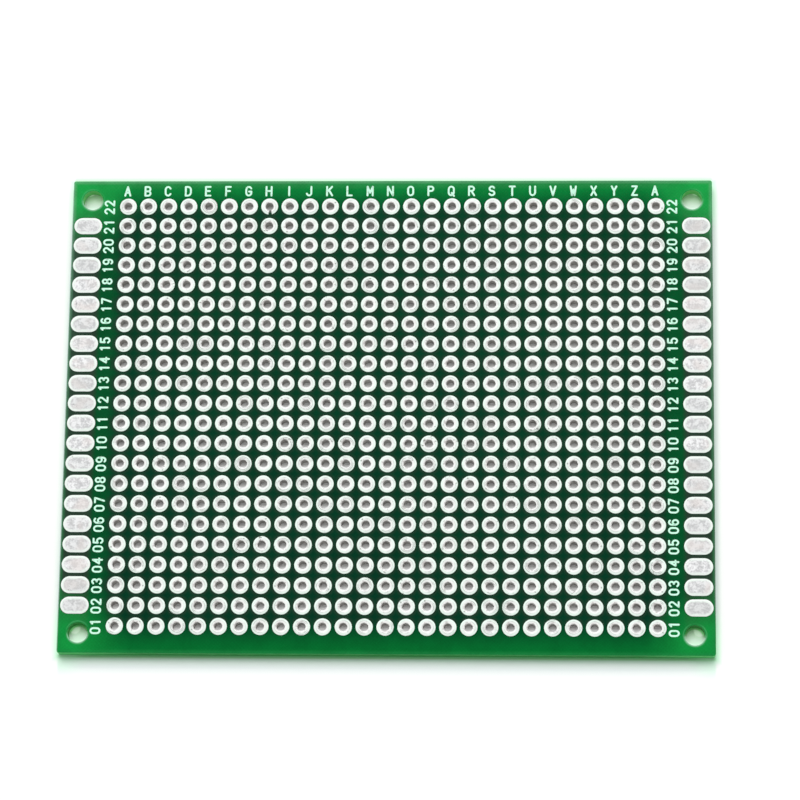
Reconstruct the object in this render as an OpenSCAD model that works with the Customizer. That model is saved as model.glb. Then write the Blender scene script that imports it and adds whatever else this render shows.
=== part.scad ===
// Double-sided prototype board for soldering electronic parts by hand.
// A glass-fibre laminate carries a grid of plated through holes, a row of soldered pads along each
// short edge, a solder mask on both faces and a mounting hole near each corner.
// Millimetres. The board lies flat: X runs along a row of holes, Y from row 1 to the last row, and
// Z up. The origin is under the board's centre, in the plane of the lowest solder.

/* [Board] */
// Length of the board, along the rows of holes
board_l = 80; // [77:0.5:110]
// Width of the board, across the rows of holes
board_w = 60; // [59:0.5:90]
// Thickness of the bare laminate
laminate_t = 1.53; // [0.6:0.01:3.2]
// Radius of the board's corners
corner_r = 0.3; // [0.1:0.1:1.5]

/* [Solder mask] */
// Thickness of the solder mask on each face
mask_t = 0.035; // [0.02:0.005:0.06]
// Bare ring of laminate between a pad and the solder mask around it
mask_clearance = 0.05; // [0.03:0.01:0.1]

/* [Hole grid] */
// Number of plated holes in a row
columns = 27; // [2:1:27]
// Number of rows of plated holes
rows = 22; // [3:1:22]
// Distance from one hole to the next, both ways
pitch = 2.54; // [2.3:0.01:2.6]
// Diameter of a finished hole, inside its plating
hole_d = 1; // [0.8:0.05:1.2]
// Thickness of the plating on a hole's wall
plating_t = 0.05; // [0.02:0.005:0.08]

/* [Pads] */
// Diameter of the round pad at each end of a plated hole
pad_d = 2.1; // [1.7:0.05:2.3]
// Thickness of a pad's copper foil
copper_t = 0.035; // [0.018:0.001:0.07]
// Height of the solder over a pad's copper
solder_h = 0.025; // [0.02:0.005:0.08]

/* [Edge pads] */
// Length of an edge pad, square to the board's short edge
edge_pad_l = 3.5; // [2.5:0.1:4.5]
// Width of an edge pad, along the board's short edge
edge_pad_w = 2.1; // [1.3:0.05:2.3]
// Distance from an edge pad to the board's short edge
edge_pad_margin = 0.25; // [0.15:0.05:0.6]
// Width of the rounded shoulder of solder round an edge pad
shoulder_w = 0.3; // [0.1:0.05:0.5]
// Rows at each end of the grid that have no edge pads
rows_without_edge_pads = 1; // [1:1:5]

/* [Mounting holes] */
// Diameter of a mounting hole
mounting_hole_d = 2.5; // [2:0.1:3]
// Distance from a mounting hole's centre to each of the two edges beside it
mounting_hole_inset = 2.5; // [2.2:0.1:2.9]

/* [Hidden] */
// Segments of a full circle
$fn = 48;

// A pad's height on the laminate, and the heights of the laminate's two faces
pad_h = copper_t + solder_h;
laminate_bottom = pad_h;
laminate_top = laminate_bottom + laminate_t;

// The hole drilled for the plating, and the ring of pad round a finished hole
drill_d = hole_d + 2 * plating_t;
ring_w = (pad_d - hole_d) / 2;

// Steps that round the solder's section, an even number
solder_steps = 4;

// Places of the holes, of the edge pads and of the mounting holes
column_x = [for (column = [1:columns]) (column - (columns + 1) / 2) * pitch];
row_y = [for (row = [1:rows]) (row - (rows + 1) / 2) * pitch];
edge_pad_rows = [for (row = [1 + rows_without_edge_pads:rows - rows_without_edge_pads]) row];
edge_pad_x = board_l / 2 - edge_pad_margin - edge_pad_l / 2;
mounting_hole_x = board_l / 2 - mounting_hole_inset;
mounting_hole_y = board_w / 2 - mounting_hole_inset;

// Points along the solder's surface over a chord that is centred on x = 0: an arc that starts and
// ends on the copper and is solder_h high at its middle
function solder_arc(chord) =
    let (radius = (chord * chord / 4 + solder_h * solder_h) / (2 * solder_h))
    [for (step = [0:solder_steps])
        let (x = chord * (step / solder_steps - 1 / 2))
        [x, sqrt(radius * radius - x * x) - radius + solder_h]];

// Upper half of an eyelet's section, from the laminate's middle: out along the face, up the
// pad's rim and in over the solder, which crowns between the rim and the finished hole
ring_middle = (hole_d + ring_w) / 2;
eyelet_upper = concat(
    [[drill_d / 2, laminate_t / 2], [pad_d / 2, laminate_t / 2]],
    [for (point = solder_arc(ring_w)) [ring_middle - point.x, laminate_t / 2 + copper_t + point.y]]
);
eyelet_lower = [for (i = [len(eyelet_upper) - 1:-1:0])
    [eyelet_upper[i].x, -eyelet_upper[i].y]];

// Half of an edge pad's section, from its rim to its middle line: the copper's rim, the rounded
// shoulder of the solder and its flat top
edge_pad_half = concat(
    [[edge_pad_w / 2, 0]],
    [for (point = solder_arc(2 * shoulder_w))
        if (point.x <= 0) [edge_pad_w / 2 - shoulder_w - point.x, copper_t + point.y]]
);
edge_pad_other_half = [for (i = [len(edge_pad_half) - 1:-1:0])
    [-edge_pad_half[i].x, edge_pad_half[i].y]];

function row_node(row) = str("eyelets_row_", row < 10 ? "0" : "", row);

// Repeats its children at each plated hole of one row
module along_row(row) {
    for (x = column_x)
        translate([x, row_y[row - 1]])
            children();
}

// Repeats its children at each edge pad of one side, -1 for the left and 1 for the right
module along_edge(side) {
    for (row = edge_pad_rows)
        translate([side * edge_pad_x, row_y[row - 1]])
            children();
}

// Repeats its children at each mounting hole
module at_mounting_holes() {
    for (x = [-1, 1], y = [-1, 1])
        translate([x * mounting_hole_x, y * mounting_hole_y])
            children();
}

// Outline of the board, a rectangle with rounded corners
module board_outline() {
    square([board_l - 2 * corner_r, board_w], center = true);
    square([board_l, board_w - 2 * corner_r], center = true);
    for (x = [-1, 1], y = [-1, 1])
        translate([x * (board_l / 2 - corner_r), y * (board_w / 2 - corner_r)])
            circle(r = corner_r);
}

// Outline of an edge pad, grown all round: a straight middle with two round ends
module edge_pad_outline(grown) {
    width = edge_pad_w + 2 * grown;
    square([edge_pad_l - edge_pad_w, width], center = true);
    for (end = [-1, 1])
        translate([end * (edge_pad_l - edge_pad_w) / 2, 0])
            circle(d = width);
}

// Drilled core: a hole for the plating at each grid point, and the mounting holes
module laminate() {
    color([0.62, 0.66, 0.42])
        translate([0, 0, laminate_bottom])
            linear_extrude(laminate_t)
                difference() {
                    board_outline();
                    for (row = [1:rows])
                        along_row(row)
                            circle(d = drill_d);
                    at_mounting_holes()
                        circle(d = mounting_hole_d);
                }
}

// Film of solder mask with a window round every pad, printed on a face at height z
module solder_mask(z) {
    color([0.05, 0.45, 0.2])
        translate([0, 0, z])
            linear_extrude(mask_t)
                difference() {
                    board_outline();
                    for (row = [1:rows])
                        along_row(row)
                            circle(d = pad_d + 2 * mask_clearance);
                    for (side = [-1, 1])
                        along_edge(side)
                            edge_pad_outline(mask_clearance);
                    at_mounting_holes()
                        circle(d = mounting_hole_d);
                }
}

module solder_mask_top() {
    solder_mask(laminate_top);
}

module solder_mask_bottom() {
    solder_mask(laminate_bottom - mask_t);
}

// Eyelet of a plated hole, centred on the laminate: a barrel that lines the drilled hole, with a
// soldered ring on the laminate's face at each end
module eyelet() {
    rotate_extrude()
        polygon(concat(eyelet_upper, eyelet_lower));
}

module eyelet_row(row) {
    color([0.86, 0.87, 0.88])
        translate([0, 0, laminate_bottom + laminate_t / 2])
            along_row(row)
                eyelet();
}

// Edge pads of one side, standing on the plane z = 0: the section runs along the middle of each pad,
// and its half is turned round each end
module edge_pads(side) {
    middle_l = edge_pad_l - edge_pad_w;
    translate([side * edge_pad_x, 0, 0]) {
        rotate([90, 0, 90])
            linear_extrude(middle_l, center = true)
                for (row = edge_pad_rows)
                    translate([row_y[row - 1], 0])
                        polygon(concat(edge_pad_half, edge_pad_other_half));
        for (row = edge_pad_rows, end = [-1, 1])
            translate([end * middle_l / 2, row_y[row - 1], 0])
                rotate_extrude()
                    polygon(concat(edge_pad_half, [[0, pad_h], [0, 0]]));
    }
}

module edge_pads_top(side) {
    color([0.84, 0.85, 0.87])
        translate([0, 0, laminate_top])
            edge_pads(side);
}

module edge_pads_bottom(side) {
    color([0.84, 0.85, 0.87])
        translate([0, 0, laminate_bottom])
            mirror([0, 0, 1])
                edge_pads(side);
}

module edge_pads_left_top() {
    edge_pads_top(-1);
}

module edge_pads_right_top() {
    edge_pads_top(1);
}

module edge_pads_left_bottom() {
    edge_pads_bottom(-1);
}

module edge_pads_right_bottom() {
    edge_pads_bottom(1);
}

laminate();
solder_mask_top();
solder_mask_bottom();
edge_pads_left_top();
edge_pads_right_top();
edge_pads_left_bottom();
edge_pads_right_bottom();
for (row = [1:rows])
    eyelet_row(row);
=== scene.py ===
import math

import bpy
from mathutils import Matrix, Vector


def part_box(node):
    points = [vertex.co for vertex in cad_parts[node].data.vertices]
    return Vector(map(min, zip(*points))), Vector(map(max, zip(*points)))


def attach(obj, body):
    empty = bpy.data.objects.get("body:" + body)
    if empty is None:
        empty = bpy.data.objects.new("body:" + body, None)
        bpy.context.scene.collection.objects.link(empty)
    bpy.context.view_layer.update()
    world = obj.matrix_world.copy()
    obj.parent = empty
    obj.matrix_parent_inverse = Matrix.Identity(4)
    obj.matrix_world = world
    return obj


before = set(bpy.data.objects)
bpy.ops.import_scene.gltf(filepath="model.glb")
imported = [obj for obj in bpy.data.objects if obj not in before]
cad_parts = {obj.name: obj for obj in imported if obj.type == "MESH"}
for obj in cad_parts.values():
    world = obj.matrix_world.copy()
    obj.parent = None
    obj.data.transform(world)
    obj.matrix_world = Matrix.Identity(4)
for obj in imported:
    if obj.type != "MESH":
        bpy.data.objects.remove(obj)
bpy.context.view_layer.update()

MM = 0.001

# The board's own measures, as in its CAD source
HALF_L = 40 * MM
HALF_W = 30 * MM
PITCH = 2.54 * MM
COLUMNS = 27
ROWS = 22
EDGE_PAD_X = 38.0 * MM
EDGE_PAD_L = 3.5 * MM
EDGE_PAD_W = 2.1 * MM
MOUNTING_INSET = 2.5 * MM
LAMINATE_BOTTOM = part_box("laminate")[0].z
LAMINATE_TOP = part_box("laminate")[1].z
MASK_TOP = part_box("solder_mask_top")[1].z
BOARD_MIDDLE = (LAMINATE_BOTTOM + LAMINATE_TOP) / 2


def column_x(column):
    """Where the middle of a column of holes lies, counted from 1."""
    return (column - (COLUMNS + 1) / 2) * PITCH


def row_y(row):
    """Where the middle of a row of holes lies, counted from 1."""
    return (row - (ROWS + 1) / 2) * PITCH


# ---------------------------------------------------------------- camera

scene = bpy.context.scene
scene.view_settings.view_transform = "Standard"

# Fitted to the middles of the board's holes in the photo
CAMERA_LENS = 156.243
CAMERA_PLACE = (0.022504, -0.101409, 0.416475)
CAMERA_DEGREES = (13.98215, 2.71596, 0.77146)

camera_data = bpy.data.cameras.new("camera")
camera_data.sensor_width = 36
camera_data.lens = CAMERA_LENS
camera_data.clip_start = 0.01
camera_data.clip_end = 20
camera = bpy.data.objects.new("camera", camera_data)
camera.location = CAMERA_PLACE
camera.rotation_euler = [math.radians(angle) for angle in CAMERA_DEGREES]
scene.collection.objects.link(camera)
scene.camera = camera


# ---------------------------------------------------------------- node helpers


def add_node(tree, kind, **settings):
    """Adds a shader node; a setting names one of its properties, or one of its input sockets."""
    node = tree.nodes.new(kind)
    for name, value in settings.items():
        if hasattr(node, name):
            setattr(node, name, value)
        else:
            node.inputs[name.replace("_", " ")].default_value = value
    return node


def plug(tree, source, target):
    """Feeds one socket from another."""
    tree.links.new(source, target)


def math_node(tree, operation, a, b=None, c=None, clamp=False):
    """A Math node whose inputs are numbers or the sockets that feed them."""
    node = add_node(tree, "ShaderNodeMath", operation=operation, use_clamp=clamp)
    for socket, value in zip(node.inputs, (a, b, c)):
        if value is None:
            continue
        if isinstance(value, (int, float)):
            socket.default_value = value
        else:
            plug(tree, value, socket)
    return node.outputs[0]


def product(tree, *factors):
    """Sockets or numbers multiplied together, from left to right."""
    result = factors[0]
    for factor in factors[1:]:
        result = math_node(tree, "MULTIPLY", result, factor)
    return result


def length_of(tree, x, y):
    """Length of a flat vector from its two parts."""
    squares = [math_node(tree, "MULTIPLY", part, part) for part in (x, y)]
    return math_node(tree, "SQRT", math_node(tree, "ADD", *squares))


def apart(tree, a, b):
    """How far two values are apart, whichever is the larger."""
    return math_node(tree, "ABSOLUTE", math_node(tree, "SUBTRACT", a, b))


def swing(tree, noise, width):
    """Turns a noise into an offset of up to half the width either way."""
    return math_node(tree, "MULTIPLY", math_node(tree, "SUBTRACT", noise, 0.5), width)


def smooth_range(tree, value, low, high, to_low=0.0, to_high=1.0):
    """Turns a value smoothly from to_low to to_high as it goes from low to high."""
    node = add_node(tree, "ShaderNodeMapRange", interpolation_type="SMOOTHSTEP")
    plug(tree, value, node.inputs["Value"])
    node.inputs["From Min"].default_value = low
    node.inputs["From Max"].default_value = high
    node.inputs["To Min"].default_value = to_low
    node.inputs["To Max"].default_value = to_high
    return node.outputs["Result"]


def fade(tree, value, near, far, strength=1.0):
    """The strength where a value is below near, and none of it where the value is above far."""
    return smooth_range(tree, value, near, far, strength, 0.0)


def mix_colour(tree, factor, a, b, blend="MIX"):
    """Mixes two colours, each a socket or a colour, by a factor, a socket or a number."""
    node = add_node(tree, "ShaderNodeMix", data_type="RGBA", blend_type=blend)
    for socket, value in ((node.inputs[0], factor), (node.inputs[6], a), (node.inputs[7], b)):
        if isinstance(value, (int, float)):
            socket.default_value = value
        elif isinstance(value, tuple):
            socket.default_value = (*value, 1.0)
        else:
            plug(tree, value, socket)
    return node.outputs[2]


def grey(tree, value):
    """A grey of one value."""
    node = add_node(tree, "ShaderNodeCombineColor")
    for socket in node.inputs[:3]:
        plug(tree, value, socket)
    return node.outputs[0]


def axes_of(tree, vector):
    """The X, Y and Z of a vector, by their names."""
    node = add_node(tree, "ShaderNodeSeparateXYZ")
    plug(tree, vector, node.inputs[0])
    return node.outputs


def chance_at(tree, column, row):
    """White noise that stays the same all over one pad."""
    cell = add_node(tree, "ShaderNodeCombineXYZ")
    plug(tree, column, cell.inputs[0])
    plug(tree, row, cell.inputs[1])
    noise = add_node(tree, "ShaderNodeTexWhiteNoise", noise_dimensions="3D")
    plug(tree, cell.outputs[0], noise.inputs["Vector"])
    return noise.outputs


def new_material(name):
    """A material with a Principled shader, with its tree, its shader and its Object coordinates."""
    material = bpy.data.materials.new(name)
    material.use_nodes = True
    tree = material.node_tree
    shader = tree.nodes["Principled BSDF"]
    place = add_node(tree, "ShaderNodeTexCoord").outputs["Object"]
    return material, tree, shader, place


def bump(tree, shader, height, distance):
    """Raises the shader's surface by a height map, as deep as the distance."""
    node = add_node(tree, "ShaderNodeBump", Distance=distance)
    plug(tree, height, node.inputs["Height"])
    plug(tree, node.outputs["Normal"], shader.inputs["Normal"])


def new_group(name, inputs, outputs):
    """A shader node group with float or vector inputs and float outputs."""
    group = bpy.data.node_groups.new(name, "ShaderNodeTree")
    for label, kind, value in inputs:
        socket = group.interface.new_socket(label, in_out="INPUT", socket_type=kind)
        if value is not None:
            socket.default_value = value
    for label in outputs:
        group.interface.new_socket(label, in_out="OUTPUT", socket_type="NodeSocketFloat")
    into = group.nodes.new("NodeGroupInput")
    out = group.nodes.new("NodeGroupOutput")
    return group, into.outputs, out.inputs


def use_group(tree, group, place, **values):
    """Places a group in a material with its own values, and gives back its outputs."""
    node = add_node(tree, "ShaderNodeGroup")
    node.node_tree = group
    plug(tree, place, node.inputs["Place"])
    for name, value in values.items():
        node.inputs[name.replace("_", " ")].default_value = value
    return node.outputs


# ---------------------------------------------------------------- shared effects

# The middle part of a noise's range, where most of its values lie
NOISE = (0.3, 0.7)

# Broad unevenness and fine grain of a poured, plated or printed surface
grain_group, grain_in, grain_out = new_group(
    "surface_grain",
    [
        ("Place", "NodeSocketVector", None),
        ("Broad Scale", "NodeSocketFloat", 600.0),
        ("Fine Scale", "NodeSocketFloat", 6000.0),
        ("Fine Share", "NodeSocketFloat", 0.5),
    ],
    ["Broad", "Fine", "Height"],
)
broad = add_node(grain_group, "ShaderNodeTexNoise", Detail=2.0)
plug(grain_group, grain_in["Place"], broad.inputs["Vector"])
plug(grain_group, grain_in["Broad Scale"], broad.inputs["Scale"])
fine = add_node(grain_group, "ShaderNodeTexNoise", Detail=3.0)
plug(grain_group, grain_in["Place"], fine.inputs["Vector"])
plug(grain_group, grain_in["Fine Scale"], fine.inputs["Scale"])
fine_part = math_node(grain_group, "MULTIPLY", fine.outputs["Fac"], grain_in["Fine Share"])
height = math_node(grain_group, "ADD", broad.outputs["Fac"], fine_part)
plug(grain_group, broad.outputs["Fac"], grain_out["Broad"])
plug(grain_group, fine.outputs["Fac"], grain_out["Fine"])
plug(grain_group, height, grain_out["Height"])

# Small dark specks of flux and dust, only in patches
PATCH_RANGE = (0.52, 0.66)
SPECK_CONTRAST = 14.0
speck_group, speck_in, speck_out = new_group(
    "specks",
    [
        ("Place", "NodeSocketVector", None),
        ("Speck Scale", "NodeSocketFloat", 3000.0),
        ("Patch Scale", "NodeSocketFloat", 300.0),
        ("Threshold", "NodeSocketFloat", 0.62),
    ],
    ["Mask"],
)
specks = add_node(speck_group, "ShaderNodeTexNoise", Detail=4.0, Roughness=0.7)
plug(speck_group, speck_in["Place"], specks.inputs["Vector"])
plug(speck_group, speck_in["Speck Scale"], specks.inputs["Scale"])
patches = add_node(speck_group, "ShaderNodeTexNoise", Detail=1.0)
plug(speck_group, speck_in["Place"], patches.inputs["Vector"])
plug(speck_group, speck_in["Patch Scale"], patches.inputs["Scale"])
patch_mask = smooth_range(speck_group, patches.outputs["Fac"], *PATCH_RANGE)
over = math_node(speck_group, "SUBTRACT", specks.outputs["Fac"], speck_in["Threshold"])
speck_mask = math_node(speck_group, "MULTIPLY", over, SPECK_CONTRAST, clamp=True)
plug(speck_group, math_node(speck_group, "MULTIPLY", speck_mask, patch_mask), speck_out["Mask"])

# Where a point lies on the board, in mm: how far from the edges, the outline, the nearest corner
# and the middle of the nearest mounting hole, and how far towards +Y from that middle
place_group, place_in, place_out = new_group(
    "board_place",
    [("Place", "NodeSocketVector", None)],
    [
        "From Long Edge",
        "From Short Edge",
        "From Outline",
        "From Corner",
        "From Mounting Hole",
        "Up In Hole",
    ],
)
axes = axes_of(place_group, place_in["Place"])
gaps = []
for axis, half in (("X", HALF_L), ("Y", HALF_W)):
    off = math_node(place_group, "SUBTRACT", half, math_node(place_group, "ABSOLUTE", axes[axis]))
    gaps.append(math_node(place_group, "DIVIDE", off, MM))
hole_gaps = [math_node(place_group, "SUBTRACT", gap, MOUNTING_INSET / MM) for gap in gaps]
upper_half = math_node(place_group, "SIGN", axes["Y"])
up_in_hole = product(place_group, hole_gaps[1], -1.0, upper_half)
plug(place_group, gaps[1], place_out["From Long Edge"])
plug(place_group, gaps[0], place_out["From Short Edge"])
plug(place_group, math_node(place_group, "MINIMUM", *gaps), place_out["From Outline"])
plug(place_group, length_of(place_group, *gaps), place_out["From Corner"])
plug(place_group, length_of(place_group, *hole_gaps), place_out["From Mounting Hole"])
plug(place_group, up_in_hole, place_out["Up In Hole"])

# Where a point lies on the hole grid: its place from the middle of the nearest hole, in mm, and
# that hole's column and row, counted from the middle of the board
pad_group, pad_in, pad_out = new_group(
    "pad_place",
    [("Place", "NodeSocketVector", None)],
    ["Across", "Up", "From Hole", "Column", "Row"],
)
axes = axes_of(pad_group, pad_in["Place"])
offsets = []
for axis, shift, offset_label, count_label in (
    ("X", 0.0, "Across", "Column"),
    ("Y", 0.5, "Up", "Row"),
):
    pitches = math_node(pad_group, "MULTIPLY_ADD", axes[axis], 1 / PITCH, shift)
    nearest = math_node(pad_group, "ROUND", pitches)
    offset = math_node(pad_group, "SUBTRACT", pitches, nearest)
    offsets.append(math_node(pad_group, "MULTIPLY", offset, PITCH / MM))
    plug(pad_group, offsets[-1], pad_out[offset_label])
    plug(pad_group, nearest, pad_out[count_label])
plug(pad_group, length_of(pad_group, *offsets), pad_out["From Hole"])


# ---------------------------------------------------------------- materials

# Solder mask: clear green film, dark over the crowded grid as painted shade, and lit through
# towards the outline as painted glow
LOW_FIELD_SHADE_GREEN = (0.0006, 0.0370, 0.0160)
TOP_FIELD_SHADE_GREEN = (0.0008, 0.0455, 0.0178)
STRIP_LIT_GREEN = (0.0006, 0.0730, 0.0190)
GAP_SHADE_GREEN = (0.0200, 0.0430, 0.0270)
PAD_OLIVE = (0.0130, 0.0400, 0.0220)
LOW_MARGIN_GLOW = (0.0004, 0.1380, 0.0240)
TOP_MARGIN_GLOW = (0.0014, 0.2130, 0.0360)
LOW_CORNER_GLOW = (0.0050, 0.2550, 0.0430)
TOP_CORNER_GLOW = (0.0090, 0.3100, 0.0560)
LOW_RIM_GLOW = (0.0160, 0.2100, 0.0550)
TOP_RIM_GLOW = (0.1550, 0.3700, 0.2200)
SIDE_RIM_HIGHLIGHT = (0.1200, 0.1900, 0.1400)
RING_GREEN = (0.0700, 0.3300, 0.1300)
LEFT_EDGE_HIGHLIGHT = (0.3000, 0.4800, 0.3900)
LIP_HIGHLIGHT = (0.3400, 0.6200, 0.4400)

# How far each green reaches, in mm from the edge, corner, outline, pad or hole that it follows:
# full up to the first distance, gone at the second, and its share where it is full
STRIP_FADE = (5.0, 6.8)
GAP_FADE = (3.2, 4.0)
PAD_FADE = (1.15, 1.6, 0.85)
MARGIN_FADE = (0.0, 4.4)
CORNER_FADE = (2.0, 9.8)
RIM_FADE = (0.02, 0.6, 0.55)
SOFT_RIM_FADE = (0.5, 1.3, 0.08)
SIDE_RIM_FADE = (0.02, 0.25, 0.6)
RING_FADE = (0.03, 0.12, 0.55)
LIP_FADE = (1.27, 1.44, 0.8)
LIP_UP_FADE = (-0.6, 0.2)
# Where some of them begin, in mm from the short edges, the long edges or the corners
GRID_FROM_SHORT = (5.2, 5.8)
GRID_FROM_LONG = (3.2, 4.4)
SOFT_RIM_FROM_CORNER = (3.0, 8.0)
SIDE_RIM_FROM_CORNER = (4.0, 7.0)
# Reaches in metres along X and Y
PALE_SIDE_FADE = (-HALF_L, -HALF_L + 0.14 * MM, 0.9)
LOW_TO_TOP = (-0.8 * HALF_W, HALF_W)
BARE_RING_R = 1.42
# A range of a noise, and how much of the ring shows at its two ends
BARE_RING_SEEN = (0.40, 0.62, 0.2, 1.0)
THREAD_PITCH = 0.46 * MM
WEAVE_CONTRAST = 0.05
BROAD_TONE = (0.93, 1.07)
FINE_TONE = (-0.05, 0.05)
MASK_ROUGHNESS = (0.07, 0.11)
MASK_SPECULAR = 0.28
MASK_BUMP = 0.002 * MM

mask_material, tree, shader, place = new_material("green_solder_mask")
where = use_group(tree, place_group, place)
pad = use_group(tree, pad_group, place)
grain = use_group(tree, grain_group, place, Broad_Scale=420.0, Fine_Scale=5200.0, Fine_Share=0.12)
axes = axes_of(tree, place)
# Painted light: each of these greens is lighter towards +Y, the side the lamp lights from
lit_towards_top = smooth_range(tree, axes["Y"], *LOW_TO_TOP)
field_shade_green = mix_colour(tree, lit_towards_top, LOW_FIELD_SHADE_GREEN, TOP_FIELD_SHADE_GREEN)
margin_glow = mix_colour(tree, lit_towards_top, LOW_MARGIN_GLOW, TOP_MARGIN_GLOW)
corner_glow = mix_colour(tree, lit_towards_top, LOW_CORNER_GLOW, TOP_CORNER_GLOW)
rim_glow = mix_colour(tree, lit_towards_top, LOW_RIM_GLOW, TOP_RIM_GLOW)

# Painted light in the strips by the short edges, and painted shade between the edge pads
strip = fade(tree, where["From Short Edge"], *STRIP_FADE)
colour = mix_colour(tree, strip, field_shade_green, STRIP_LIT_GREEN)
gap = fade(tree, where["From Short Edge"], *GAP_FADE)
colour = mix_colour(tree, gap, colour, GAP_SHADE_GREEN)
near_pad = product(
    tree,
    fade(tree, pad["From Hole"], *PAD_FADE),
    smooth_range(tree, where["From Short Edge"], *GRID_FROM_SHORT),
    smooth_range(tree, where["From Long Edge"], *GRID_FROM_LONG),
)
colour = mix_colour(tree, near_pad, colour, PAD_OLIVE)
# Painted glow of light through the laminate along the long edges, and more of it at the corners
long_margin = fade(tree, where["From Long Edge"], *MARGIN_FADE)
colour = mix_colour(tree, long_margin, colour, margin_glow)
corner = fade(tree, where["From Corner"], *CORNER_FADE)
colour = mix_colour(tree, corner, colour, corner_glow)

# Painted light at the film's edges: a thin rim of it, and at the top a soft one as well
rim = fade(tree, where["From Outline"], *RIM_FADE)
soft_rim = product(
    tree,
    fade(tree, where["From Outline"], *SOFT_RIM_FADE),
    smooth_range(tree, where["From Corner"], *SOFT_RIM_FROM_CORNER),
    lit_towards_top,
)
rim = math_node(tree, "MAXIMUM", rim, soft_rim)
colour = mix_colour(tree, rim, colour, rim_glow)
# Painted highlight along the short edges, away from the corners
side_highlight = product(
    tree,
    fade(tree, where["From Short Edge"], *SIDE_RIM_FADE),
    smooth_range(tree, where["From Corner"], *SIDE_RIM_FROM_CORNER),
)
colour = mix_colour(tree, side_highlight, colour, SIDE_RIM_HIGHLIGHT)
# Painted highlight along the edge at -X
left_edge_highlight = fade(tree, axes["X"], *PALE_SIDE_FADE)
colour = mix_colour(tree, left_edge_highlight, colour, LEFT_EDGE_HIGHLIGHT)

# A pale line round each mounting hole, and a painted highlight on a lip on the side towards -Y
ring_line = fade(tree, apart(tree, where["From Mounting Hole"], BARE_RING_R), *RING_FADE)
ring_seen = smooth_range(tree, grain["Broad"], *BARE_RING_SEEN)
colour = mix_colour(tree, product(tree, ring_line, ring_seen), colour, RING_GREEN)
lip = product(
    tree,
    fade(tree, where["From Mounting Hole"], *LIP_FADE),
    fade(tree, where["Up In Hole"], *LIP_UP_FADE),
)
colour = mix_colour(tree, lip, colour, LIP_HIGHLIGHT)

# The glass cloth shows through the film as a faint weave
threads = [
    math_node(tree, "SINE", math_node(tree, "MULTIPLY", axes[axis], 2 * math.pi / THREAD_PITCH))
    for axis in ("X", "Y")
]
weave = product(tree, *threads, WEAVE_CONTRAST)
tone = smooth_range(tree, grain["Broad"], *NOISE, *BROAD_TONE)
tone = math_node(tree, "ADD", tone, weave)
tone = math_node(tree, "ADD", tone, smooth_range(tree, grain["Fine"], *NOISE, *FINE_TONE))
colour = mix_colour(tree, 1.0, colour, grey(tree, tone), "MULTIPLY")
plug(tree, colour, shader.inputs["Base Color"])
roughness = smooth_range(tree, grain["Fine"], *NOISE, *MASK_ROUGHNESS)
plug(tree, roughness, shader.inputs["Roughness"])
shader.inputs["Specular IOR Level"].default_value = MASK_SPECULAR
bump(tree, shader, grain["Height"], MASK_BUMP)

# Laminate: layered glass fibre, dark under the mask and paler green where it is sawn or drilled,
# with painted light on the cut faces
CORE_DARK = (0.006, 0.050, 0.020)
CORE_CUT = (0.020, 0.380, 0.062)
CORE_CORNER_GLOW = (0.110, 0.720, 0.180)
CORE_BACK = (0.130, 0.310, 0.130)
CORE_LIT = (0.310, 0.950, 0.310)
CORE_PALE = (0.110, 0.380, 0.130)

# Between which upward parts of the normal a sawn side turns into a flat face
FLAT_FACE = (0.4, 0.8)
# Reaches in mm from the corners, from the middle of a mounting hole and up from that middle
CUT_FROM_CORNER = (0.5, 11.0)
HOLE_WALL_FADE = (1.4, 1.8)
HOLE_WALL_UP = (-0.7, 0.3)
# Reaches in metres along Y
FRONT_TO_BACK = (-HALF_W, -0.85 * HALF_W)
FAR_WALL_LIT = (-0.9 * HALF_W, 0.9 * HALF_W)
# Each of these is a range of a noise, and the share of a colour at its two ends
LAYER_LINES = (0.2, 0.8, 0.0, 0.16)
PALE_GRAIN = (0.5, 0.7, 0.0, 0.25)
LAYER_SCALE = 1500.0
LAMINATE_ROUGHNESS = (0.45, 0.65)
LAMINATE_SPECULAR = 0.3
LAMINATE_BUMP = 0.012 * MM

laminate_material, tree, shader, place = new_material("glass_fibre_laminate")
grain = use_group(tree, grain_group, place, Broad_Scale=700.0, Fine_Scale=9000.0, Fine_Share=0.5)
where = use_group(tree, place_group, place)
axes = axes_of(tree, place)
layers = add_node(tree, "ShaderNodeTexWave", bands_direction="Z", Distortion=2.0, Detail=2.0)
layers.inputs["Scale"].default_value = LAYER_SCALE
layers.inputs["Detail Scale"].default_value = 2.0
plug(tree, place, layers.inputs["Vector"])
facing = axes_of(tree, add_node(tree, "ShaderNodeNewGeometry").outputs["Normal"])
flat_side = smooth_range(tree, math_node(tree, "ABSOLUTE", facing["Z"]), *FLAT_FACE)

# Painted glow of the cut faces near the corners
from_corner = smooth_range(tree, where["From Corner"], *CUT_FROM_CORNER)
cut = mix_colour(tree, from_corner, CORE_CORNER_GLOW, CORE_CUT)
# Painted light: cut faces towards the back, which face the lamp, are duller than the front ones in
# shade
towards_back = smooth_range(tree, axes["Y"], *FRONT_TO_BACK)
cut = mix_colour(tree, towards_back, cut, CORE_BACK)
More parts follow.
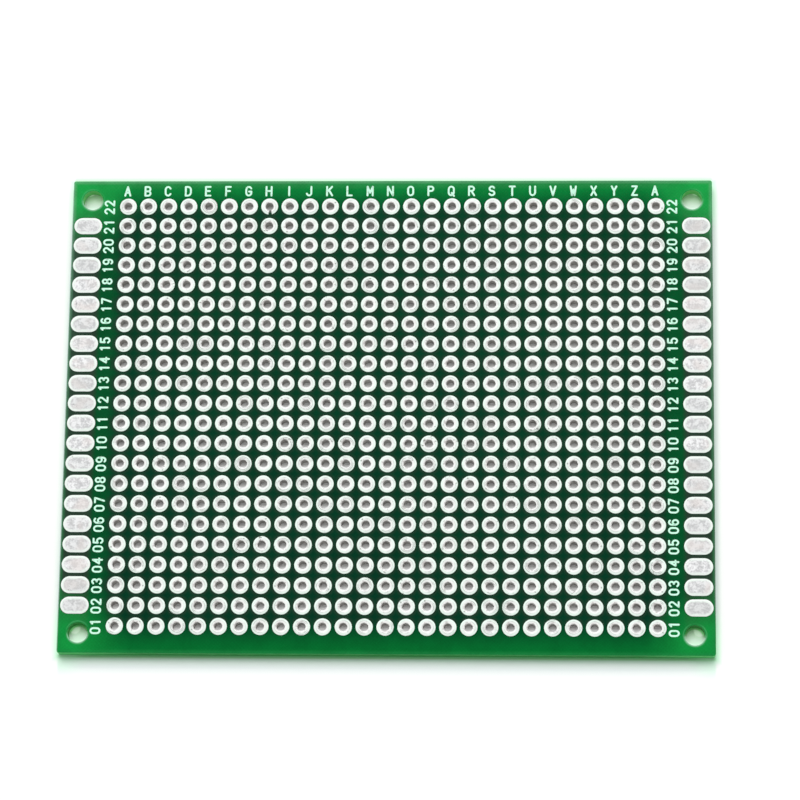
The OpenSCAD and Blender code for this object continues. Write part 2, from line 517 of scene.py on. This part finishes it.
# Painted glow on the mounting holes' far walls, as if lit through, more towards +Y
far_wall_lit = smooth_range(tree, axes["Y"], *FAR_WALL_LIT)
far_wall = mix_colour(tree, far_wall_lit, CORE_CUT, CORE_LIT)
lit_through = product(
    tree,
    fade(tree, where["From Mounting Hole"], *HOLE_WALL_FADE),
    smooth_range(tree, where["Up In Hole"], *HOLE_WALL_UP),
)
cut = mix_colour(tree, lit_through, cut, far_wall)
layer_lines = smooth_range(tree, layers.outputs["Fac"], *LAYER_LINES)
cut = mix_colour(tree, layer_lines, cut, CORE_DARK)
pale_grain = smooth_range(tree, grain["Fine"], *PALE_GRAIN)
cut = mix_colour(tree, pale_grain, cut, CORE_PALE)
plug(tree, mix_colour(tree, flat_side, cut, CORE_DARK), shader.inputs["Base Color"])
roughness = smooth_range(tree, grain["Broad"], *NOISE, *LAMINATE_ROUGHNESS)
plug(tree, roughness, shader.inputs["Roughness"])
shader.inputs["Specular IOR Level"].default_value = LAMINATE_SPECULAR
bump(tree, shader, grain["Height"], LAMINATE_BUMP)

# Solder on the round pads: bright frosted metal, with arcs where it thinned and smudges of flux,
# and painted shade in grey
SOLDER_WHITE = (0.945, 0.965, 0.940)
SOLDER_RIM = (0.840, 0.970, 0.885)
SOLDER_GREY = (0.400, 0.420, 0.400)
SOLDER_DARK = (0.110, 0.100, 0.095)
BARREL_GREY = (0.450, 0.420, 0.400)
SOLDER_METALLIC = 0.12
SOLDER_ROUGHNESS = (0.45, 0.58)
SOLDER_BUMP = 0.008 * MM

# Sizes on a pad, in mm from the middle of its hole
HOLE_R = 0.50
HOLE_EDGE = (HOLE_R - 0.005, HOLE_R + 0.005)
STEP_R = 0.77
OUTER_BAND = (STEP_R - 0.03, STEP_R + 0.10)
MOUTH_SHIFT = (0.10, -0.05)
ARC_R = (0.72, 0.90)
SMUDGE_R = 0.80
# How far fine unevenness and chance move a line, in mm
WANDER = 0.16
OFF_CENTRE = 0.36
MOUTH_RAGGED = 1.0
SMUDGE_RAGGED = 1.5
# How each mark fades, in mm: full up to the first distance, gone at the second, and its share
ARC_FADE = (0.01, 0.06)
ARC_SHARE = 0.75
ARC_DEPTH = 0.8
SMUDGE_FADE = (0.02, 0.16)
STEP_FADE = (0.01, 0.07)
MOUTH_SHADE_FADE = (0.50, 0.58, 0.3)
RAGGED_FADE = (0.45, 0.53, 0.58)
# How strong the barrel's painted shade is up to one height from the board's middle, and beyond the
# next
BARREL_SHADE = (0.60, 0.30)
BARREL_SHADE_TO = 0.55 * MM
BARREL_FADE_TO = BARREL_SHADE_TO + 0.25 * MM
SPECK_SHARE = 0.7
SOLDER_TONE = (0.0, 0.10)
# A range of a noise or a chance, and how strong a mark is at its two ends
ARC_GRAIN = (0.44, 0.58)
ARC_CHANCE = (0.4, 0.8)
SMUDGE_CHANCE = (0.70, 0.95, 0.0, 0.6)
STEP_GRAIN = (0.35, 0.65, 0.05, 0.45)
BARREL_CHANCE = (0.0, 1.0, 0.75, 1.25)

solder_material, tree, shader, place = new_material("frosted_solder")
grain = use_group(tree, grain_group, place, Broad_Scale=900.0, Fine_Scale=9000.0, Fine_Share=0.35)
rough = use_group(tree, grain_group, place, Broad_Scale=3300.0, Fine_Scale=14000.0)
specks = use_group(tree, speck_group, place, Speck_Scale=2200.0, Patch_Scale=170.0, Threshold=0.60)
axes = axes_of(tree, place)
pad = use_group(tree, pad_group, place)
x, y, radius = pad["Across"], pad["Up"], pad["From Hole"]
chance = add_node(tree, "ShaderNodeSeparateColor")
plug(tree, chance_at(tree, pad["Column"], pad["Row"])["Color"], chance.inputs[0])
turn_chance, dirt_chance, arc_chance = chance.outputs[:3]
wander = swing(tree, grain["Fine"], WANDER)

# Arcs where the solder drew back, on some pads, round a point beside the hole's middle: a dip in
# the bump, and painted shade in grey
off_radius = length_of(
    tree,
    math_node(tree, "ADD", x, swing(tree, turn_chance, OFF_CENTRE)),
    math_node(tree, "ADD", y, swing(tree, dirt_chance, OFF_CENTRE)),
)
off_radius = math_node(tree, "ADD", off_radius, wander)
arcs = [fade(tree, apart(tree, off_radius, arc_r), *ARC_FADE) for arc_r in ARC_R]
arc_seen = product(
    tree,
    smooth_range(tree, grain["Broad"], *ARC_GRAIN),
    smooth_range(tree, arc_chance, *ARC_CHANCE),
)
arc_mask = product(tree, math_node(tree, "MAXIMUM", *arcs), arc_seen)

# A smudge of flux on some pads, turned by chance
smudge_turn = math_node(tree, "MULTIPLY", turn_chance, 2 * math.pi)
smudge_x = product(tree, math_node(tree, "COSINE", smudge_turn), SMUDGE_R)
smudge_y = product(tree, math_node(tree, "SINE", smudge_turn), SMUDGE_R)
from_smudge = length_of(
    tree, math_node(tree, "SUBTRACT", x, smudge_x), math_node(tree, "SUBTRACT", y, smudge_y)
)
from_smudge = math_node(tree, "ADD", from_smudge, product(tree, wander, SMUDGE_RAGGED))
smudge = product(
    tree,
    fade(tree, from_smudge, *SMUDGE_FADE),
    smooth_range(tree, dirt_chance, *SMUDGE_CHANCE),
)

# One pad, in column H of the last row, has a gap in its solder from the hole to the rim, which
# widens towards the rim and shows the laminate there. Both are counted as the group counts them.
NICK_COLUMN = 8 - (COLUMNS + 1) // 2
NICK_ROW = ROWS - ROWS // 2
NICK_X = 0.08
NICK_SPREAD = 0.16
NICK_FADE = (0.01, 0.09)
NICK_FROM_Y = (-0.3, -0.5)
NICK_BARE_R = (0.65, 0.90)
SAME_CELL = 0.1
nick_side = math_node(tree, "ADD", math_node(tree, "SUBTRACT", x, NICK_X), wander)
nick_side = math_node(tree, "ABSOLUTE", nick_side)
nick_side = math_node(tree, "ADD", nick_side, math_node(tree, "MULTIPLY", y, NICK_SPREAD))
nick = product(
    tree,
    math_node(tree, "COMPARE", pad["Column"], NICK_COLUMN, SAME_CELL),
    math_node(tree, "COMPARE", pad["Row"], NICK_ROW, SAME_CELL),
    fade(tree, nick_side, *NICK_FADE),
    smooth_range(tree, y, *NICK_FROM_Y),
)
bare = product(tree, nick, smooth_range(tree, radius, *NICK_BARE_R))

# The hole: painted shade, grey and ragged at its mouth, a little off its middle, and darker inside
mouth_radius = length_of(
    tree, math_node(tree, "ADD", x, MOUTH_SHIFT[0]), math_node(tree, "ADD", y, MOUTH_SHIFT[1])
)
lip = fade(tree, mouth_radius, *MOUTH_SHADE_FADE)
ragged_radius = math_node(tree, "ADD", mouth_radius, swing(tree, rough["Broad"], MOUTH_RAGGED))
ragged = fade(tree, ragged_radius, *RAGGED_FADE)
from_middle = apart(tree, axes["Z"], BOARD_MIDDLE)
barrel_shade = product(
    tree,
    fade(tree, radius, *HOLE_EDGE),
    smooth_range(tree, from_middle, BARREL_SHADE_TO, BARREL_FADE_TO, *BARREL_SHADE),
    smooth_range(tree, dirt_chance, *BARREL_CHANCE),
)

# The step where the crowned solder meets the flat copper round it, painted as a grey line of shade
outer = smooth_range(tree, radius, *OUTER_BAND)
step = product(
    tree,
    fade(tree, apart(tree, math_node(tree, "ADD", radius, wander), STEP_R), *STEP_FADE),
    smooth_range(tree, grain["Broad"], *STEP_GRAIN),
)

colour = mix_colour(tree, outer, SOLDER_WHITE, SOLDER_RIM)
tone = smooth_range(tree, grain["Broad"], *NOISE, *SOLDER_TONE)
colour = mix_colour(tree, tone, colour, SOLDER_GREY)
# Painted shade in grey along the arcs
colour = mix_colour(tree, product(tree, arc_mask, ARC_SHARE), colour, SOLDER_GREY)
# Painted shade in grey at the step
colour = mix_colour(tree, step, colour, SOLDER_GREY)
# Painted shade at the hole's mouth and down its barrel
colour = mix_colour(tree, lip, colour, SOLDER_GREY)
colour = mix_colour(tree, ragged, colour, BARREL_GREY)
colour = mix_colour(tree, barrel_shade, colour, BARREL_GREY)
dirt = math_node(tree, "MAXIMUM", product(tree, specks["Mask"], SPECK_SHARE), smudge)
colour = mix_colour(tree, math_node(tree, "MAXIMUM", dirt, nick), colour, SOLDER_DARK)
colour = mix_colour(tree, bare, colour, CORE_DARK)
plug(tree, colour, shader.inputs["Base Color"])
shader.inputs["Metallic"].default_value = SOLDER_METALLIC
roughness = smooth_range(tree, grain["Fine"], *NOISE, *SOLDER_ROUGHNESS)
plug(tree, roughness, shader.inputs["Roughness"])
solder_height = math_node(tree, "SUBTRACT", grain["Height"], product(tree, arc_mask, ARC_DEPTH))
solder_height = math_node(tree, "SUBTRACT", solder_height, nick)
bump(tree, shader, solder_height, SOLDER_BUMP)

# Solder on the edge pads: the same metal, mottled grey on its flat middle
MOTTLE_PALE = (0.955, 0.960, 0.965)
MOTTLE_GREY = (0.590, 0.590, 0.600)
MOTTLE_WARM = (0.830, 0.750, 0.720)
MOTTLE_DULL = (0.540, 0.560, 0.550)
EDGE_RIM = (0.870, 0.950, 0.890)
EDGE_ROUGHNESS = (0.38, 0.55)
EDGE_BUMP = 0.010 * MM
# The flat middle, in mm from the line along the pad's middle, and the ranges of its mottling
MIDDLE_FADE = (0.62, 0.92)
MIDDLE_WOBBLE = 0.6
MOTTLE_RANGE = (0.72, 1.08)
WARM_RANGE = (0.45, 0.7)
WARM_SHARE = (0.0, 0.6)
DULL_SHARE = 0.45
EDGE_SPECK_SHARE = 0.60

edge_material, tree, shader, place = new_material("mottled_edge_solder")
grain = use_group(tree, grain_group, place, Broad_Scale=1300.0, Fine_Scale=4200.0, Fine_Share=0.8)
tint = use_group(tree, grain_group, place, Broad_Scale=380.0, Fine_Scale=9000.0, Fine_Share=0.3)
specks = use_group(tree, speck_group, place, Speck_Scale=1500.0, Patch_Scale=260.0, Threshold=0.62)
pad = use_group(tree, pad_group, place)
axes = axes_of(tree, place)
along = apart(tree, math_node(tree, "ABSOLUTE", axes["X"]), EDGE_PAD_X)
along = math_node(tree, "DIVIDE", along, MM)
straight = (EDGE_PAD_L - EDGE_PAD_W) / 2 / MM
past_end = math_node(tree, "MAXIMUM", math_node(tree, "SUBTRACT", along, straight), 0.0)
from_spine = length_of(tree, past_end, pad["Up"])
from_spine = math_node(tree, "ADD", from_spine, swing(tree, grain["Broad"], MIDDLE_WOBBLE))
middle = fade(tree, from_spine, *MIDDLE_FADE)
mottle = smooth_range(tree, grain["Height"], *MOTTLE_RANGE)
tinned = mix_colour(tree, mottle, MOTTLE_PALE, MOTTLE_GREY)
warm = smooth_range(tree, tint["Broad"], *WARM_RANGE, *WARM_SHARE)
tinned = mix_colour(tree, warm, tinned, MOTTLE_WARM)
pad_chance = chance_at(tree, math_node(tree, "SIGN", axes["X"]), pad["Row"])["Value"]
tinned = mix_colour(tree, product(tree, pad_chance, DULL_SHARE), tinned, MOTTLE_DULL)
colour = mix_colour(tree, middle, EDGE_RIM, tinned)
colour = mix_colour(tree, product(tree, specks["Mask"], EDGE_SPECK_SHARE), colour, SOLDER_DARK)
plug(tree, colour, shader.inputs["Base Color"])
shader.inputs["Metallic"].default_value = SOLDER_METALLIC
roughness = smooth_range(tree, tint["Fine"], *NOISE, *EDGE_ROUGHNESS)
plug(tree, roughness, shader.inputs["Roughness"])
bump(tree, shader, grain["Height"], EDGE_BUMP)

# Legend ink: pale epoxy ink, a little uneven where the screen's mesh printed it
INK = (0.600, 0.940, 0.760)
INK_THIN = (0.320, 0.660, 0.450)
THIN_RANGE = (0.82, 1.02)
THIN_SHARE = (0.0, 0.8)
INK_ROUGHNESS = (0.45, 0.6)
INK_BUMP = 0.006 * MM

ink_material, tree, shader, place = new_material("legend_ink")
grain = use_group(tree, grain_group, place, Broad_Scale=1800.0, Fine_Scale=9000.0, Fine_Share=0.5)
thin = smooth_range(tree, grain["Height"], *THIN_RANGE, *THIN_SHARE)
plug(tree, mix_colour(tree, thin, INK, INK_THIN), shader.inputs["Base Color"])
roughness = smooth_range(tree, grain["Fine"], *NOISE, *INK_ROUGHNESS)
plug(tree, roughness, shader.inputs["Roughness"])
bump(tree, shader, grain["Height"], INK_BUMP)


# ---------------------------------------------------------------- the CAD nodes' finishes


def finish_node(node, material):
    """Gives a CAD node its material, in each of its slots."""
    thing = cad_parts[node]
    for material_slot in thing.material_slots:
        material_slot.material = material


finish_node("laminate", laminate_material)
finish_node("solder_mask_top", mask_material)
finish_node("solder_mask_bottom", mask_material)
for row in range(1, ROWS + 1):
    finish_node(f"eyelets_row_{row:02d}", solder_material)
for side in ("left", "right"):
    for face in ("top", "bottom"):
        finish_node(f"edge_pads_{side}_{face}", edge_material)


# ---------------------------------------------------------------- legend

INK_WIDTH = 0.24 * MM
INK_HEIGHT = 0.014 * MM
ARC_STEP = 30
SHARP_TURN = math.radians(50)
SHORTEST_LEG = 0.2
# The pen's swell towards an end of its path: how far past the last point, and how wide there, both
# as shares of its radius
PEN_ENDS = ((0.9, 0.4), (0.55, 0.8))


def arc(x, y, radius_x, radius_y, start, end):
    """Points along an arc, from one angle to the other, in degrees."""
    steps = max(2, round(abs(end - start) / ARC_STEP))
    angles = [math.radians(start + (end - start) * i / steps) for i in range(steps + 1)]
    return [(x + radius_x * math.cos(a), y + radius_y * math.sin(a)) for a in angles]


# Pen strokes of each character, on a grid 6 wide and 10 high
OVAL = arc(3, 7, 3, 3, 0, 180) + arc(3, 3, 3, 3, 180, 360) + [(6, 7)]
BOWL = [(0, 0), (0, 10)] + arc(3.3, 7.5, 2.5, 2.5, 90, -90) + [(0, 5)]
STROKES = {
    "A": [[(0, 0), (3, 10), (6, 0)], [(1, 3.4), (5, 3.4)]],
    "B": [BOWL, [(3.3, 5)] + arc(3.4, 2.5, 2.6, 2.5, 90, -90) + [(0, 0)]],
    "C": [arc(3, 7, 3, 3, 20, 180) + arc(3, 3, 3, 3, 180, 340)],
    "D": [
        [(0, 0), (0, 10)]
        + arc(2.7, 6.7, 3.3, 3.3, 90, 0)
        + arc(2.7, 3.3, 3.3, 3.3, 0, -90)
        + [(0, 0)]
    ],
    "E": [[(5.4, 10), (0, 10), (0, 0), (5.4, 0)], [(0, 5.2), (4.6, 5.2)]],
    "F": [[(5.4, 10), (0, 10), (0, 0)], [(0, 5.2), (4.6, 5.2)]],
    "G": [arc(3, 7, 3, 3, 20, 180) + arc(3, 3, 3, 3, 180, 360) + [(6, 4.6), (3.4, 4.6)]],
    "H": [[(0, 0), (0, 10)], [(6, 0), (6, 10)], [(0, 5.2), (6, 5.2)]],
    "I": [[(3, 0), (3, 10)]],
    "J": [arc(2.6, 2.6, 2.6, 2.6, 190, 360) + [(5.2, 10)]],
    "K": [[(0, 0), (0, 10)], [(5.8, 10), (0, 4)], [(2.2, 6.2), (6, 0)]],
    "L": [[(0, 10), (0, 0), (5.2, 0)]],
    "M": [[(0, 0), (0, 10), (3, 3), (6, 10), (6, 0)]],
    "N": [[(0, 0), (0, 10), (6, 0), (6, 10)]],
    "O": [OVAL],
    "P": [BOWL],
    "Q": [OVAL, [(3.6, 2.8), (6.2, -0.8)]],
    "R": [BOWL, [(2.8, 5), (6, 0)]],
    "S": [arc(3, 7.5, 2.8, 2.5, 20, 270) + arc(3, 2.5, 3, 2.5, 90, -160)],
    "T": [[(0, 10), (6, 10)], [(3, 10), (3, 0)]],
    "U": [[(0, 10)] + arc(3, 3, 3, 3, 180, 360) + [(6, 10)]],
    "V": [[(0, 10), (3, 0), (6, 10)]],
    "W": [[(0, 10), (1.5, 0), (3, 6.5), (4.5, 0), (6, 10)]],
    "X": [[(0.2, 10), (5.8, 0)], [(5.8, 10), (0.2, 0)]],
    "Y": [[(0.2, 10), (3, 5), (5.8, 10)], [(3, 5), (3, 0)]],
    "Z": [[(0.4, 10), (5.8, 10), (0.2, 0), (6, 0)]],
    "0": [OVAL],
    "1": [[(1.6, 8.2), (3.6, 10), (3.6, 0)]],
    "2": [arc(3, 7.2, 2.8, 2.8, 165, -25) + [(0.3, 0), (5.9, 0)]],
    "3": [arc(2.9, 7.5, 2.6, 2.5, 150, -90) + arc(2.9, 2.5, 2.9, 2.5, 90, -155)],
    "4": [[(4.5, 0), (4.5, 10), (0.1, 3.1), (6.1, 3.1)]],
    "5": [[(5.4, 10), (0.9, 10), (0.6, 5.4)] + arc(3, 3.1, 2.9, 3.1, 120, -155)],
    "6": [arc(3, 7, 2.8, 3, 40, 180) + [(0.2, 3)], arc(3, 3, 2.8, 3, 0, 360)],
    "7": [[(0.3, 10), (5.8, 10), (2.2, 0)]],
    "8": [arc(3, 7.5, 2.5, 2.5, -90, 270), arc(3, 2.5, 2.9, 2.5, 90, 450)],
    "9": [arc(3, 7, 2.8, 3, 0, 360), [(5.8, 7)] + arc(3, 3, 2.8, 3, 0, -140)],
}
GRID_W = 6
GRID_H = 10


def print_strokes(curve, characters, centre, size, advance, upright):
    """Adds the pen strokes of a few characters to a curve, centred on a point of the board's face.
    Upright characters stand towards +Y, and the others lie with their tops towards -X."""
    width, height = size
    for index, character in enumerate(characters):
        shift = (index - (len(characters) - 1) / 2) * advance
        for stroke in STROKES[character]:
            points = []
            for x, y in stroke:
                u = (x / GRID_W - 0.5) * width + shift
                v = (y / GRID_H - 0.5) * height
                spot = (u, v) if upright else (-v, u)
                points.append(Vector((centre[0] + spot[0], centre[1] + spot[1], 0)))
            add_stroke(curve, points)


def add_stroke(curve, points):
    """One pen stroke. The pen lifts at each sharp corner, so that both legs keep their width."""
    r = INK_WIDTH / 2
    shortest = SHORTEST_LEG * r
    kept = [points[0]] + [b for a, b in zip(points, points[1:]) if (b - a).length > shortest]
    leg = kept[:2]
    for point in kept[2:]:
        if (leg[-1] - leg[-2]).angle(point - leg[-1]) > SHARP_TURN:
            add_leg(curve, leg)
            leg = [leg[-1]]
        leg.append(point)
    add_leg(curve, leg)


def add_leg(curve, kept):
    """One path of the pen, whose radius swells at each end to round it."""
    r = INK_WIDTH / 2
    start = (kept[1] - kept[0]).normalized()
    end = (kept[-1] - kept[-2]).normalized()
    path = [(kept[0] - start * r * past, width) for past, width in PEN_ENDS]
    path += [(point, 1.0) for point in kept]
    path += [(kept[-1] + end * r * past, width) for past, width in reversed(PEN_ENDS)]
    spline = curve.splines.new("POLY")
    spline.points.add(len(path) - 1)
    for target, (point, width) in zip(spline.points, path):
        target.co = (*point, 1.0)
        target.radius = width


def printed_piece(name, lines, size, advance, upright):
    """One piece of legend ink from several short words: a pen path round its strokes, flattened."""
    bpy.ops.object.select_all(action="DESELECT")
    curve = bpy.data.curves.new(name, "CURVE")
    curve.dimensions = "3D"
    curve.twist_mode = "Z_UP"
    curve.bevel_depth = INK_WIDTH / 2
    curve.bevel_resolution = 1
    curve.use_fill_caps = True
    for characters, centre in lines:
        print_strokes(curve, characters, centre, size, advance, upright)
    piece = bpy.data.objects.new(name, curve)
    scene.collection.objects.link(piece)
    piece.select_set(True)
    bpy.context.view_layer.objects.active = piece
    bpy.ops.object.convert(target="MESH")
    piece = bpy.context.view_layer.objects.active
    piece.scale = (1, 1, INK_HEIGHT / (INK_WIDTH / 2))
    piece.location = (0, 0, MASK_TOP)
    bpy.ops.object.transform_apply(location=True, rotation=False, scale=True)
    bpy.ops.object.shade_smooth_by_angle(angle=math.radians(60))
    piece.data.materials.append(ink_material)
    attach(piece, "root")


LETTERS_IN_ALPHABET = 26
LETTER_SIZE = (0.64 * MM, 1.14 * MM)
LETTER_Y = 28.68 * MM
LETTER_SHIFT = -0.13 * MM
DIGIT_SIZE = (0.62 * MM, 1.12 * MM)
DIGIT_ADVANCE = 1.02 * MM
NUMBER_X = {"left": -35.37 * MM, "right": 34.98 * MM}
NUMBER_SHIFT = -0.10 * MM

# The columns are lettered from A to Z and then from A again
column_letters = [chr(ord("A") + index % LETTERS_IN_ALPHABET) for index in range(COLUMNS)]
letter_lines = [
    (letter, (column_x(column) + LETTER_SHIFT, LETTER_Y))
    for column, letter in enumerate(column_letters, start=1)
]
printed_piece("column_letters", letter_lines, LETTER_SIZE, 0, True)
for side, x in NUMBER_X.items():
    number_lines = [
        (f"{row:02d}", (x, row_y(row) + NUMBER_SHIFT)) for row in range(1, ROWS + 1)
    ]
    printed_piece(f"row_numbers_{side}", number_lines, DIGIT_SIZE, DIGIT_ADVANCE, False)


# ---------------------------------------------------------------- floor and light

# White paper, with painted shadow round the board and a painted green tint where light comes out of
# the board's edges
PAPER_WHITE = (0.90, 0.90, 0.90)
PAPER_SHADOW_BESIDE = (0.73, 0.82, 0.79)
PAPER_LIT_BY_CORNER = (0.62, 0.97, 0.72)
PAPER_LIT_BEHIND = (0.46, 0.90, 0.54)
PAPER_SHADOW_IN_FRONT = [
    (0.00, (0.22, 0.70, 0.30)),
    (0.12, (0.22, 0.60, 0.27)),
    (0.24, (0.36, 0.70, 0.40)),
    (0.42, (0.72, 0.93, 0.80)),
    (0.80, (0.81, 0.91, 0.86)),
    (1.50, (0.77, 0.82, 0.82)),
    (2.60, (0.90, 0.90, 0.90)),
]
PAPER_SHADE_IN_HOLE_LOW = (0.77, 0.88, 0.80)
PAPER_SHADE_IN_HOLE_HIGH = (0.72, 0.90, 0.70)
PAPER_SHADOW_BY_WALL = (0.20, 0.64, 0.22)
PAPER_GLOW = 0.12
HOLE_GLOW = 0.25
FLOOR_SIZE = 8
FLOOR_DROP = 0.005 * MM
PAPER_ROUGHNESS = 0.9
PAPER_SPECULAR = 0.1
# How far each tint reaches, in mm: distances from the edges and the outline are below 0 outside
AT_SIDES = (-1.0, 0.0)
BESIDE_CORNER_FADE = (3.5, 6.5, 0.9)
BEHIND_EDGE = (-1.3, -0.05)
BEHIND_Y = (HALF_W - 0.2 * MM, HALF_W)
IN_FRONT_Y_FADE = (-HALF_W, -HALF_W + 0.1 * MM)
WITHIN_SIDES = (-0.25, 0.15)
FRONT_CORNER_FADE = (0.5, 4.0, 0.45)
UNDER_BOARD = (0.3, 0.8)
# In mm from the middle of a mounting hole, and up from it
IN_HOLE_FADE = (1.3, 1.4)
UP_HOLE = (-0.4, 0.8)
BY_WALL_FROM_HOLE = (0.86, 1.15)
BY_WALL_UP = (-0.2, 0.6)
BY_WALL_SHARE = (1.0, 0.3)
# In mm from the middle of a small hole, and up from it
GLOW_FADE = (0.6, 0.8)
GLOW_UP_FADE = (-0.05, 0.35, HOLE_GLOW)

bpy.ops.object.select_all(action="DESELECT")
bpy.ops.mesh.primitive_plane_add(size=FLOOR_SIZE, location=(0, 0, -FLOOR_DROP))
floor = bpy.context.active_object
floor.name = "floor"
floor_material, tree, shader, place = new_material("white_paper")
where = use_group(tree, place_group, place)
pad = use_group(tree, pad_group, place)
axes = axes_of(tree, place)

# Beside and behind the board: painted shadow beside it, and painted green glow by the corners and
# behind
by_corner = fade(tree, where["From Corner"], *BESIDE_CORNER_FADE)
beside = mix_colour(tree, by_corner, PAPER_SHADOW_BESIDE, PAPER_LIT_BY_CORNER)
at_sides = smooth_range(tree, where["From Outline"], *AT_SIDES)
paper = mix_colour(tree, at_sides, PAPER_WHITE, beside)
within_sides = smooth_range(tree, where["From Short Edge"], *WITHIN_SIDES)
behind = product(
    tree,
    smooth_range(tree, axes["Y"], *BEHIND_Y),
    smooth_range(tree, where["From Long Edge"], *BEHIND_EDGE),
    within_sides,
)
paper = mix_colour(tree, behind, paper, PAPER_LIT_BEHIND)

# In front of the board, a painted shadow tinted green, whose colour runs through the stops of a
# ramp
ramp_length, last_shade = PAPER_SHADOW_IN_FRONT[-1]
ramp = add_node(tree, "ShaderNodeValToRGB")
stops = ramp.color_ramp.elements
stops[1].position = 1.0
stops[1].color = (*last_shade, 1.0)
stops[0].color = (*PAPER_SHADOW_IN_FRONT[0][1], 1.0)
for distance, shade in PAPER_SHADOW_IN_FRONT[1:-1]:
    stops.new(distance / ramp_length).color = (*shade, 1.0)
along_ramp = math_node(tree, "MULTIPLY", where["From Long Edge"], -1.0 / ramp_length)
plug(tree, along_ramp, ramp.inputs["Fac"])
front_corner = fade(tree, where["From Corner"], *FRONT_CORNER_FADE)
front_paper = mix_colour(tree, front_corner, ramp.outputs["Color"], PAPER_LIT_BY_CORNER)
in_front = product(tree, fade(tree, axes["Y"], *IN_FRONT_Y_FADE), within_sides)
paper = mix_colour(tree, in_front, paper, front_paper)

# Under the board the paper stays white, apart from what shows through the mounting holes, which
# carries painted shade, darker green by the far wall
under_board = smooth_range(tree, where["From Outline"], *UNDER_BOARD)
paper = mix_colour(tree, under_board, paper, PAPER_WHITE)
up_hole = smooth_range(tree, where["Up In Hole"], *UP_HOLE)
hole_paper = mix_colour(tree, up_hole, PAPER_SHADE_IN_HOLE_LOW, PAPER_SHADE_IN_HOLE_HIGH)
# Painted shadow, dark green, on the paper by each mounting hole's far wall
wall_shadow = product(
    tree,
    smooth_range(tree, where["From Mounting Hole"], *BY_WALL_FROM_HOLE),
    smooth_range(tree, where["Up In Hole"], *BY_WALL_UP),
    smooth_range(tree, axes["Y"], 0.0, HALF_W, *BY_WALL_SHARE),
)
hole_paper = mix_colour(tree, wall_shadow, hole_paper, PAPER_SHADOW_BY_WALL)
in_hole = fade(tree, where["From Mounting Hole"], *IN_HOLE_FADE)
paper = mix_colour(tree, in_hole, paper, hole_paper)
plug(tree, paper, shader.inputs["Base Color"])
shader.inputs["Roughness"].default_value = PAPER_ROUGHNESS
shader.inputs["Specular IOR Level"].default_value = PAPER_SPECULAR

# What the camera, gloss and glass see of the paper glows a little, and more under small holes as a
# painted pool of light
hole_glow = product(
    tree,
    fade(tree, pad["Up"], *GLOW_UP_FADE),
    fade(tree, pad["From Hole"], *GLOW_FADE),
    under_board,
)
glow = math_node(tree, "ADD", hole_glow, PAPER_GLOW)
glow_colour = mix_colour(tree, 1.0, paper, grey(tree, glow), "MULTIPLY")
plug(tree, glow_colour, shader.inputs["Emission Color"])
rays = add_node(tree, "ShaderNodeLightPath")
seen = math_node(tree, "ADD", rays.outputs["Is Camera Ray"], rays.outputs["Is Glossy Ray"])
seen = math_node(tree, "ADD", seen, rays.outputs["Is Transmission Ray"], clamp=True)
plug(tree, seen, shader.inputs["Emission Strength"])
floor.data.materials.append(floor_material)

# A tent of white light: dimmer near the horizon and overhead, and brighter behind the board
ABOVE_HORIZON = (0.15, 0.50, 0.27, 0.79)
OFF_ZENITH = (0.80, 0.94, 1.0, 0.10)
FROM_BEHIND = (-0.6, 0.6, 0.45, 1.35)

world = bpy.data.worlds.new("light_tent")
scene.world = world
world.use_nodes = True
tree = world.node_tree
background = tree.nodes["Background"]
direction = axes_of(tree, add_node(tree, "ShaderNodeTexCoord").outputs["Generated"])
sky = product(
    tree,
    smooth_range(tree, direction["Z"], *ABOVE_HORIZON),
    smooth_range(tree, direction["Z"], *OFF_ZENITH),
    smooth_range(tree, direction["Y"], *FROM_BEHIND),
)
background.inputs["Color"].default_value = (1, 1, 1, 1)
plug(tree, sky, background.inputs["Strength"])


def soft_box(name, location, size, watts):
    """A square lamp that looks at the board, with its glare kept off it as by a polarising film."""
    data = bpy.data.lights.new(name, "AREA")
    data.shape = "SQUARE"
    data.size = size
    data.energy = watts
    lamp = bpy.data.objects.new(name, data)
    lamp.location = location
    lamp.rotation_euler = (-Vector(location)).to_track_quat("-Z", "Y").to_euler()
    lamp.visible_glossy = False
    scene.collection.objects.link(lamp)


LAMP_PLACE = (-0.10, 0.894, 1.559)
LAMP_SIZE = 1.10
LAMP_WATTS = 25.2
soft_box("key_from_behind", LAMP_PLACE, LAMP_SIZE, LAMP_WATTS)
